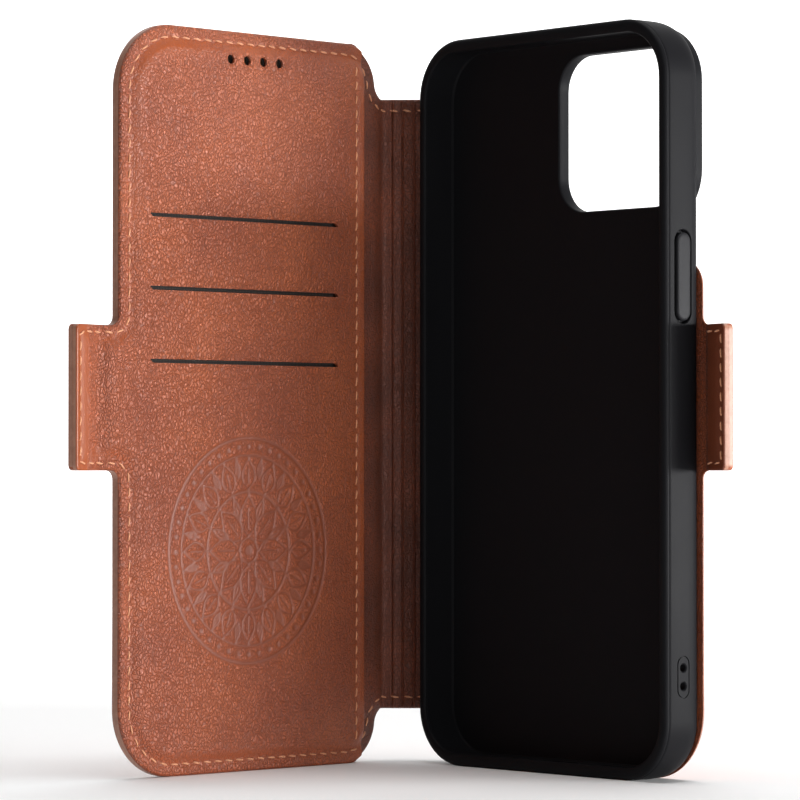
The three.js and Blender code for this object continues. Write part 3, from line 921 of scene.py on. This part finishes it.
def leather(name, dark, light, rubbed, grain):
    """Pebbled leather with wrinkles, painted shade in its grain's hollows, slow colour changes and
    rubbed places.
    """
    f = Finish(name, LEATHER_ROUGH)
    place = f.attribute("grain_place", "Vector")
    warp = f.noise(place, 0.55, 2.0, "Color")
    shift = f.math("MULTIPLY_ADD", warp, (1.7, 1.7, 0), place, kind="ShaderNodeVectorMath")
    turned_grain = f.add(
        "ShaderNodeMapping", Vector=shift, Rotation=(0, 0, 0.5), Scale=(1.3, 0.85, 0.8)
    ).outputs[0]
    cells = f.add(
        "ShaderNodeTexVoronoi", {"feature": "DISTANCE_TO_EDGE"}, Vector=turned_grain, Scale=1.25
    ).outputs["Distance"]
    pebble = f.ramp(cells, (0, 0), (0.09, 0.6), (0.26, 1))
    fine = f.noise(turned_grain, 3.6, 4.0, Roughness=0.6)
    slow = f.ramp(f.noise(place, 0.045, 3.0), (0.35, 0), (0.65, 1))
    burnish, pressed = f.attribute("burnish"), f.attribute("pressed")
    rough = f.math("SUBTRACT", 1.0, f.math("MULTIPLY", burnish, 0.9))
    rough = f.math("MULTIPLY", rough, f.math("SUBTRACT", 1.0, pressed))
    # painted shade: the pebble's hollows are darkened in colour, less where the leather is rubbed
    # or pressed
    valley_shade = f.math("SUBTRACT", 1.0, pebble)
    valley_shade = f.math("MULTIPLY", valley_shade, f.math("MULTIPLY", rough, 0.7))
    colour = f.mix(slow, dark, light)
    colour = f.mix(f.math("MULTIPLY", burnish, 0.8), colour, rubbed)
    colour = f.mix(valley_shade, colour, times(dark, 0.42))
    colour = f.mix(f.math("MULTIPLY", pressed, 0.75), colour, times(dark, 0.5))
    shine = f.math("ADD", LEATHER_ROUGH - 0.05, f.math("MULTIPLY", fine, 0.16))
    shine = f.math("SUBTRACT", shine, f.math("MULTIPLY", burnish, 0.1))
    low = f.bump(fine, 0.00010 * grain, f.math("MULTIPLY", rough, 0.8))
    normal = f.bump(pebble, 0.00016 * grain, rough, Normal=low)
    f.to(Base_Color=colour, Roughness=shine, Normal=normal, Specular_IOR_Level=0.66)
    return f.material


def mottled(name, roughness, pattern, dark, light, depth, strength, **values):
    """A finish whose colour and bump follow one pattern."""
    f = Finish(name, roughness)
    level = pattern(f)
    bump = f.bump(level, depth, strength)
    f.to(Base_Color=f.mix(level, dark, light), Normal=bump, **values)
    return f.material


def weave(f):
    """Plain weave of the card pockets."""
    place = f.object_place()
    threads = [
        f.add(
            "ShaderNodeTexWave", {"bands_direction": way}, Vector=place, Scale=700.0, Distortion=1.0
        ).outputs["Fac"]
        for way in "ZY"
    ]
    return f.math("MULTIPLY", *threads)


def brushed(f):
    """Fine lines along the magnets."""
    stretched = f.add("ShaderNodeMapping", Vector=f.object_place(), Scale=(60, 60, 4000))
    return f.noise(stretched.outputs[0], 1.0, 3.0)


def moulded(name, colour, roughness):
    """Fine matt moulded plastic, a little uneven in gloss."""
    f = Finish(name, roughness)
    place = f.object_place()
    speck = f.noise(place, 5200.0, 3.0)
    gloss = f.math("MULTIPLY", f.noise(place, 38.0, 2.0), 0.12)
    f.to(
        Base_Color=f.mix(f.math("MULTIPLY", speck, 0.6), colour, times(colour, 1.22)),
        Roughness=f.math("ADD", roughness - 0.06, gloss),
        Normal=f.bump(speck, 0.00003, 0.35),
        Specular_IOR_Level=0.045,
    )
    return f.material


def paper():
    """The pale sweep that the case stands on, which glows more and more behind the case."""
    f = Finish("pale_floor", 0.9)
    place = f.object_place()
    away = (-math.sin(AZIMUTH), math.cos(AZIMUTH), 0)
    glow = f.math("DOT_PRODUCT", place, away, kind="ShaderNodeVectorMath", output="Value")
    glow = f.math("MULTIPLY", f.math("SUBTRACT", glow, 0.25), 1.2)
    f.to(
        Base_Color=f.mix(f.noise(place, 3.0, 2.0), srgb(247, 247, 247), srgb(252, 252, 252)),
        Specular_IOR_Level=0.1,
        Emission_Color=(1, 1, 1, 1),
        Emission_Strength=f.math("MINIMUM", f.math("MAXIMUM", glow, 0.0), 1.0),
    )
    return f.material


LEATHER_ROUGH = 0.5
TAN = srgb(150, 70, 36), srgb(172, 85, 43), srgb(146, 66, 14)  # dark, light and rubbed
# the lining's browns: its own darker tone, deepened further with painted shade of the inner fold
BROWN = srgb(98, 46, 26), srgb(138, 68, 40), srgb(110, 50, 24)
panel_finish = leather("panel_leather", *TAN, 1.0)
outer_finish = leather("outer_leather", *TAN, 0.9)
lining_finish = leather("lining_leather", *BROWN, 0.6)
edge_finish = mottled(
    "painted_edge", 0.42, lambda f: f.noise(f.attribute("grain_place", "Vector"), 0.8, 3.0),
    srgb(140, 94, 74), srgb(184, 136, 114), 0.00008, 0.6,
)
thread_finish = mottled(
    "waxed_thread", 0.62,
    lambda f: f.noise(f.attribute("grain_place", "Vector"), 5.0, 3.0, Roughness=0.6),
    srgb(178, 108, 70), srgb(232, 168, 128), 0.00006, 0.7, Sheen_Weight=0.15,
)
tpu_finish = moulded("charcoal_tpu", srgb(23, 23, 25), 0.48)
button_finish = moulded("button_tpu", srgb(34, 34, 36), 0.4)
board_finish = mottled(
    "pressed_board", 0.9, lambda f: f.noise(f.object_place(), 900.0, 6.0),
    srgb(120, 104, 84), srgb(176, 162, 140), 0.00008, 0.5,
)
fabric_finish = mottled(
    "pocket_weave", 0.92, weave, srgb(24, 20, 18), srgb(58, 50, 44), 0.00008, 0.7,
    Sheen_Weight=0.3,
)
magnet_finish = mottled(
    "magnet_plating", 0.3, brushed, srgb(150, 152, 156), srgb(206, 208, 212), 0.00003, 0.4,
    Metallic=1.0,
)


# ---------- leather pieces ----------


def card_panel():
    def from_medallion(spots):
        return np.hypot(*((spots - MEDALLION) / MEDALLION_SIZE).T)

    coarse = grid((0, 100, 1.3), (0, HEIGHT, 1.3))
    fine = grid(*((c - r, c + r, 0.3) for c, r in zip(MEDALLION, (25, 26.5))))
    lattice = [coarse[from_medallion(coarse) > 1.05], fine[from_medallion(fine) < 1.03]]
    cut_along, cut_up = PANEL_CUT
    corners = [(PANEL_EDGE, cut_up, 0.9), (cut_along, 0, 5), *cover_corners[3:8]]
    corners += [
        (COVER_REACH, HEIGHT, COVER_CORNER), (cut_along, HEIGHT, 5),
        (PANEL_EDGE, HEIGHT - cut_up, 0.9),
    ]
    openings = [card_slit(low) for low in SLOTS]
    openings += [round_hole(c, (HOLE_RADIUS, 1.2, 1.45, 1.8)) for c in HOLES]
    mesh = flat_mesh(corners, 0.8, lattice, openings)
    s, z = mesh[0].T
    panel = sheet(
        "card_panel_and_tab_leather", cover_leaf, mesh, panel_front, panel_back,
        panel_finish, "tan_leather", ("card_panel_leather", "front_tab_lining"),
        burnish=panel_burnish(cover_leaf, s, z), pressed=medallion(s, z),
    )


def outer_pieces():
    for name, leaf, corners, lattice, back, nodes, openings in (
        ("cover_outer_leather", cover_leaf, cover_corners, [grid((0, 102, 1.7), (0, HEIGHT, 1.7))],
         cover_back, ("cover_leather", "front_tab_leather"),
         [round_hole(c, (HOLE_RADIUS, 1.25, 1.6)) for c in HOLES]),
        ("back_outer_leather", back_leaf, back_corners,
         [grid((0, 82, 1.7), (0, HEIGHT, 1.7)), grid((82.2, 90, 0.4), (0, HEIGHT, 1.5))],
         back_back, ("back_leather", "rear_tab_leather"), ()),
    ):
        mesh = flat_mesh(cut(corners, SPLIT), 0.8, lattice, openings)
        sheet(
            name, leaf, mesh, outer_front, back, outer_finish, "tan_leather", nodes,
            burnish=edge_burnish(leaf, *mesh[0].T),
        )


def crease_pieces():
    """The spine's outer leather and its ribbed lining, in halves that bend at one crease each."""
    outer = (strip_front, strip_back, outer_finish, "tan_leather")
    lining = (lining_front, lining_back, lining_finish, "leather_lining")
    for name, leaf, corners, step, spacing, kind, nodes in (
        ("spine_outer_leather_front", front_leaf, strip_corners(-SPINE_MIDDLE, SPLIT),
         0.4, 0.3, outer, ("spine_leather",)),
        ("spine_outer_leather_rear", rear_leaf, rear_corners(-SPLIT, SPINE_MIDDLE),
         0.4, 0.3, outer, ("spine_leather",)),
        ("spine_lining_front", front_leaf, strip_corners(-SPINE_MIDDLE, 13),
         0.2, 0.1, lining, ("spine_lining", "cover_lining")),
        ("spine_lining_rear", rear_leaf, rear_corners(-1.8, SPINE_MIDDLE),
         0.2, 0.1, lining, ("spine_lining",)),
    ):
        lattice = grid((-10, 14, spacing), (0, HEIGHT, 3.1))
        sheet(name, leaf, flat_mesh(corners, step, [lattice], rings=STRIP_RINGS), *kind, nodes)


def rear_tab_inner():
    near = BACK_REACH + 1.6
    corners = [
        (near, tab_low, 0), (REAR_TAB_END, tab_low, TAB_CORNER),
        (REAR_TAB_END, tab_high, TAB_CORNER), (near, tab_high, 0),
    ]
    lattice = grid((80, 100, 0.35), (0, HEIGHT, 0.9))
    mesh = flat_mesh(corners, 0.5, [lattice], rings=RINGS[:9])
    sheet(
        "rear_tab_inner_leather", back_leaf, mesh, rear_tab_front, rear_tab_back,
        lining_finish, "leather_lining", ("rear_tab_lining",),
        burnish=smooth((mesh[0][:, 0] - REAR_TAB_AT - 1.5) / 1.2),
    )


def seams():
    cover_amounts = [BORDER_SEAM] * 4 + [TAB_SEAM, TAB_END_SEAM, TAB_SEAM] + [BORDER_SEAM] * 4
    back_amounts = cover_amounts + [BORDER_SEAM] * 2

    def cover(low, high=FAR):
        return seam_path(cover_corners, cover_amounts, low, high)

    def back(low, high=FAR):
        return seam_path(back_corners, back_amounts, low, high)

    end = BORDER_SEAM + 2.2
    panel_edge = np.array([(PANEL_EDGE + BORDER_SEAM, z) for z in (end, HEIGHT - end)])
    rear_inner = [
        np.array([(-1.5, z), (SPINE_MIDDLE, z)])
        for z in (spine_low + BORDER_SEAM, spine_high - BORDER_SEAM)
    ]
    rear_outer = [(p * (-1, 1))[::-1] for p in back(-SPINE_MIDDLE, SPLIT)]
    for name, leaf, paths, face, out, *nodes in (
        ("cover_border_stitching", cover_leaf, cover(PANEL_EDGE + 0.9), panel_front, 1,
         "cover_stitching_lower", "cover_stitching_upper", "front_tab_stitching"),
        ("card_panel_edge_seam", cover_leaf, [panel_edge], panel_front, 1,
         "card_panel_edge_stitching"),
        ("spine_stitching_front", front_leaf, cover(-SPINE_MIDDLE, PANEL_EDGE - 0.4),
         lining_front, 1, "spine_stitching_bottom", "spine_stitching_top"),
        ("spine_stitching_rear", rear_leaf, rear_inner, lining_front, 1),
        ("cover_outer_stitching", cover_leaf, cover(SPLIT + 0.2), outer_front, -1),
        ("back_outer_stitching", back_leaf, back(SPLIT + 0.2), outer_front, -1,
         "back_stitching_lower", "back_stitching_upper"),
        ("spine_outer_stitching_front", front_leaf, cover(-SPINE_MIDDLE, SPLIT), strip_front, -1),
        ("spine_outer_stitching_rear", rear_leaf, rear_outer, strip_front, -1),
        ("rear_tab_inner_stitching", back_leaf, back(REAR_TAB_AT + 0.6), rear_tab_front, 1,
         "rear_tab_stitching"),
    ):
        declare(stitching(name, leaf, paths, face, out), "peach_thread", leaf, nodes)


# ---------- the moulded tray: its places count from its foot, front and middle ----------

HALF = 40.0
CORNER = 13.0
TRAY_PROFILE = (  # inset at the sides, inset at top and bottom, depth behind the front
    (2.7, 3.3, 9.3), (2.0, 2.6, 9.18), (1.64, 2.24, 8.8), (1.55, 2.15, 8.2), (1.55, 2.15, 1.3),
    (1.62, 2.22, 1.08), (1.8, 2.4, 1.0), (2.02, 2.62, 0.95), (2.17, 2.77, 0.8), (2.2, 2.8, 0.55),
    (2.14, 2.74, 0.28), (1.98, 2.56, 0.09), (1.75, 2.25, 0.0), (1.05, 1.25, 0.0),
    (0.72, 0.8, 0.06), (0.42, 0.44, 0.2), (0.2, 0.2, 0.42), (0.07, 0.07, 0.7), (0.0, 0.0, 0.95),
    (0.03, 0.03, 1.06), (0.15, 0.15, 1.16), (0.19, 0.19, 1.28), (0.12, 0.12, 1.4),
    (0.03, 0.03, 1.55), (0.0, 0.0, 1.9), (-0.05, -0.02, 3.6), (-0.06, -0.02, 5.3),
    (-0.02, 0.0, 7.0), (0.08, 0.08, 8.2), (0.26, 0.26, 9.1), (0.55, 0.55, 9.85),
    (0.95, 0.95, 10.35), (1.5, 1.5, 10.6),
)
# Boxes are left, bottom, right, top and corner radius; their steps are depth and growth.
GUARD = (-7, 120, 39, 163.2, 12)  # the raised rim round the cameras
GUARD_STEPS = ((9.9, 0), (12.0, 0), (12.25, -0.05), (12.45, -0.18), (12.57, -0.36), (12.6, -0.6))
VIEW = (-2.8, 124.2, 34.8, 159, 7.8)  # the cameras' opening
VIEW_STEPS = (
    (8, 0.35), (9.15, 0.35), (9.3, 0.3), (9.5, 0.08), (9.7, 0), (12.1, 0), (12.35, 0.1),
    (12.5, 0.3), (12.65, 0.6), (14, 0.6),
)
RECESS = (-33.3, 7.7, 33.3, 105.3, 8.3)  # for the fibre sheet
RECESS_STEPS = ((9.9, 0), (14, 0))
# Slots are depth, height, length and width; their steps are distance from the middle and growth.
MOAT_STEPS = ((42, 0.8), (40.08, 0.8), (39.98, 0.68), (39.85, 0.57), (39.65, 0.5), (38.75, 0.48))
CAP_STEPS = (
    (39.3, -0.02), (40.0, 0), (40.16, -0.05), (40.29, -0.16), (40.37, -0.34), (40.4, -0.6),
    (40.42, -1.1),
)
LANYARD = (5.3, 22.6, 9.2, 3.7)  # the ring pressed round the two lanyard holes
LANYARD_STEPS = ((42, 0), (39.82, 0), (39.82, -0.3), (42, -0.3))
BORE_SIZE = (1.51, 1.5)
BORE_OFF = 1.95  # from the ring's middle
BORE_STEPS = ((42, 0.32), (40.03, 0.32), (39.92, 0.16), (39.75, 0.03), (39.6, 0), (38, 0))
PORTS = ((0, 13, 6.4), (-20, 15, 3.6), (20, 15, 3.6))  # middle, width and depth
PORT_DEPTH = 1 + 8.25 / 2  # the phone's middle
PORT_STEPS = ((-1, 0.4), (-0.02, 0.4), (0.1, 0.22), (0.3, 0.06), (0.5, 0), (3.4, 0))
BUTTONS = {
    "power": ("power_button", 1), "action": ("action_button", -1),
    "volume_up": ("volume_up_button", -1), "volume_down": ("volume_down_button", -1),
}


def lofted(name, loops, ring=False):
    """A closed solid through loops that have the same number of points."""
    count, last = len(loops[0]), len(loops[0]) * (len(loops) - 1)
    vertices = [tuple(MM * c for c in p) for loop in loops for p in loop]
    order = list(range(len(loops)))
    polygons = tube_faces(0, order + [0] if ring else order, count)
    if not ring:
        polygons.append(tuple(range(count)))
        polygons.append(tuple(range(last + count - 1, last - 1, -1)))
    return build(name, vertices, polygons, 40, [])


def frame_loop(box, grow, depth, steps=14):
    """A rectangle with round corners, always with the same number of points."""
    left, low, right, high, radius = box
    radius += grow
    left, right = left - grow + radius, right + grow - radius
    low, high = low - grow + radius, high + grow - radius
    points = []
    for x, z, start in ((right, low, -90), (right, high, 0), (left, high, 90), (left, low, 180)):
        for k in range(steps + 1):
            a = math.radians(start + 90 * k / steps)
            points.append((
                tray_middle + (x + radius * math.cos(a)), tray_front + depth,
                z + radius * math.sin(a),
            ))
    return points


def box_loops(box, steps):
    return [frame_loop(box, grow, depth) for depth, grow in steps]


def pill_loops(length, width, steps, start, place):
    """Loops with round ends through steps of depth and growth; place puts a point in the tray."""
    loops = []
    for depth, grow in steps:
        half, rise = length / 2 + grow, width / 2 + grow
        loop = []
        for k in range(28):
            a = math.pi * (k % 14) / 13 + (0 if k < 14 else math.pi) + start
            shift = half - rise if k < 14 else rise - half
            loop.append(place(depth, shift, rise * math.cos(a), rise * math.sin(a)))
        loops.append(loop)
    return loops


def side_loops(slot, sign, steps):
    """Through the tray's side towards +X or -X."""
    y, z, length, width = slot

    def place(x, shift, across, along):
        return tray_middle + sign * x, tray_front + y + across, z + shift + along

    return pill_loops(length, width, steps, 0, place)


def foot_loops(port):
    """Through the tray's foot."""
    middle, width, depth = port

    def place(z, shift, along, across):
        return tray_middle + middle + shift + along, tray_front + PORT_DEPTH + across, z

    return pill_loops(width, depth, PORT_STEPS, -math.pi / 2, place)


def combine(body, operation, name, loops, ring=False):
    tool = lofted(name, loops, ring)
    modifier = body.modifiers.new(operation, "BOOLEAN")
    modifier.operation = operation
    modifier.solver = "EXACT"
    modifier.object = tool
    bpy.context.view_layer.update()
    graph = bpy.context.evaluated_depsgraph_get()
    made = bpy.data.meshes.new_from_object(body.evaluated_get(graph))
    body.modifiers.clear()
    body.data = made
    bpy.data.objects.remove(tool)


def button_slot(node):
    low, high = box_mm(node)
    return (
        (low[1] + high[1]) / 2 - tray_front, (low[2] + high[2]) / 2, high[2] - low[2],
        high[1] - low[1],
    )


def moulded_piece(piece, finish, node, body):
    piece.data.materials.clear()
    piece.data.materials.append(finish)
    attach(piece, body)
    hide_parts(node)


def tray_shell():
    body = lofted("tray_shell", [
        frame_loop((side - HALF, end, HALF - side, HEIGHT - end, CORNER - side * 1.2), 0, depth)
        for side, end, depth in TRAY_PROFILE
    ])
    combine(body, "UNION", "guard", box_loops(GUARD, GUARD_STEPS))
    combine(body, "DIFFERENCE", "view", box_loops(VIEW, VIEW_STEPS))
    combine(body, "DIFFERENCE", "recess", box_loops(RECESS, RECESS_STEPS))
    for node, sign in BUTTONS.values():
        combine(body, "DIFFERENCE", "moat", side_loops(button_slot(node), sign, MOAT_STEPS))
    combine(body, "DIFFERENCE", "ring", side_loops(LANYARD, 1, LANYARD_STEPS), ring=True)
    for side in (-1, 1):
        hole = (LANYARD[0], LANYARD[1] + side * BORE_OFF, *BORE_SIZE)
        combine(body, "DIFFERENCE", "bore", side_loops(hole, 1, BORE_STEPS))
    for port in PORTS:
        combine(body, "DIFFERENCE", "port", foot_loops(port))
    finish_mesh(body.data, 32)
    moulded_piece(body, tpu_finish, "tpu_tray", "tray")


def push_buttons():
    for label, (node, sign) in BUTTONS.items():
        cap = lofted(f"{label}_button_cap", side_loops(button_slot(node), sign, CAP_STEPS))
        moulded_piece(cap, button_finish, node, node)


def carried_over():
    """The CAD nodes that stay as they are, inside the leather."""
    finishes = {
        "board": board_finish, "stiffener": board_finish, "magnet": magnet_finish,
        "backing": fabric_finish, "liner": fabric_finish,
    }
    for name, node in frame["nodes"].items():
        for word, finish in finishes.items():
            if word in name and not node.hide_render:
                node.data.materials.clear()
                node.data.materials.append(finish)


# ---------- floor, light and camera: places in metres ----------

FLOOR_SIDE = 4.0
FLOOR_FRONT = -3.0
FLOOR_BACK = 3.0
WALL_TOP = 4.0
SWEEP_RADIUS = 1.2
SWEEP_STEPS = 24
WORLD_LIGHT = 0.04
WORLD_SEEN = 1.0
LIGHT_TARGET = Vector((0, 0, 0.082))
LIGHTS = (  # name, degrees from +X, distance, height, width and depth, power in watts
    ("back_right", 37, 1.0, 0.085, 0.65, 0.14, 14.5),
    ("right", 5, 1.1, 0.085, 0.6, 0.14, 4.3),
    ("camera_right", -25, 1.2, 0.08, 0.5, 0.2, 0.9),
    ("top", 90, 0.2, 2.2, 1.6, 1.6, 36),
)
PITCH = math.radians(0.955)
LENS = 175.5
CAMERA_PLACE = Vector((631.5, -546.7, 68.0)) * MM


def sweep():
    """A floor that curves up into a wall behind the case."""
    profile = [(FLOOR_FRONT, 0.0)]
    for i in range(SWEEP_STEPS + 1):
        a = math.radians(90 * i / SWEEP_STEPS)
        along = FLOOR_BACK - SWEEP_RADIUS + SWEEP_RADIUS * math.sin(a)
        profile.append((along, SWEEP_RADIUS - SWEEP_RADIUS * math.cos(a)))
    profile.append((FLOOR_BACK, WALL_TOP))
    away = np.array([-math.sin(AZIMUTH), math.cos(AZIMUTH)])
    across = -left_of(away)
    vertices = [
        (*(away * along + across * end), z)
        for along, z in profile for end in (-FLOOR_SIDE, FLOOR_SIDE)
    ]
    faces = [(2 * i, 2 * i + 1, 2 * i + 3, 2 * i + 2) for i in range(len(profile) - 1)]
    build("floor", vertices, faces, 60, [paper()])


def studio():
    sweep()
    scene = bpy.context.scene
    world = bpy.data.worlds.new("studio")
    world.use_nodes = True
    tree = world.node_tree
    seen = tree.nodes.new("ShaderNodeLightPath").outputs["Is Camera Ray"]
    strength = tree.nodes.new("ShaderNodeMapRange")
    strength.inputs["To Min"].default_value = WORLD_LIGHT
    strength.inputs["To Max"].default_value = WORLD_SEEN
    tree.links.new(seen, strength.inputs["Value"])
    tree.nodes["Background"].inputs["Color"].default_value = (1, 1, 1, 1)
    tree.links.new(strength.outputs["Result"], tree.nodes["Background"].inputs["Strength"])
    scene.world = world
    scene.view_settings.view_transform = "Standard"
    for name, turn, distance, height, width, depth, power in LIGHTS:
        turn = math.radians(turn)
        light = bpy.data.lights.new(name, "AREA")
        light.shape = "RECTANGLE"
        light.size = width
        light.size_y = depth
        light.energy = power
        lamp = bpy.data.objects.new(name, light)
        scene.collection.objects.link(lamp)
        lamp.location = (distance * math.cos(turn), distance * math.sin(turn), height)
        look = LIGHT_TARGET - lamp.location
        lamp.rotation_euler = look.to_track_quat("-Z", "Y").to_euler()


def camera():
    data = bpy.data.cameras.new("camera")
    data.lens = LENS
    data.clip_end = 50
    made = bpy.data.objects.new("camera", data)
    bpy.context.scene.collection.objects.link(made)
    made.location = CAMERA_PLACE
    level = math.cos(PITCH)
    look = Vector((-math.sin(AZIMUTH) * level, math.cos(AZIMUTH) * level, math.sin(PITCH)))
    made.rotation_euler = look.to_track_quat("-Z", "Y").to_euler()
    bpy.context.scene.camera = made


studio()
camera()
card_panel()
outer_pieces()
crease_pieces()
rear_tab_inner()
seams()
tray_shell()
push_buttons()
carried_over()
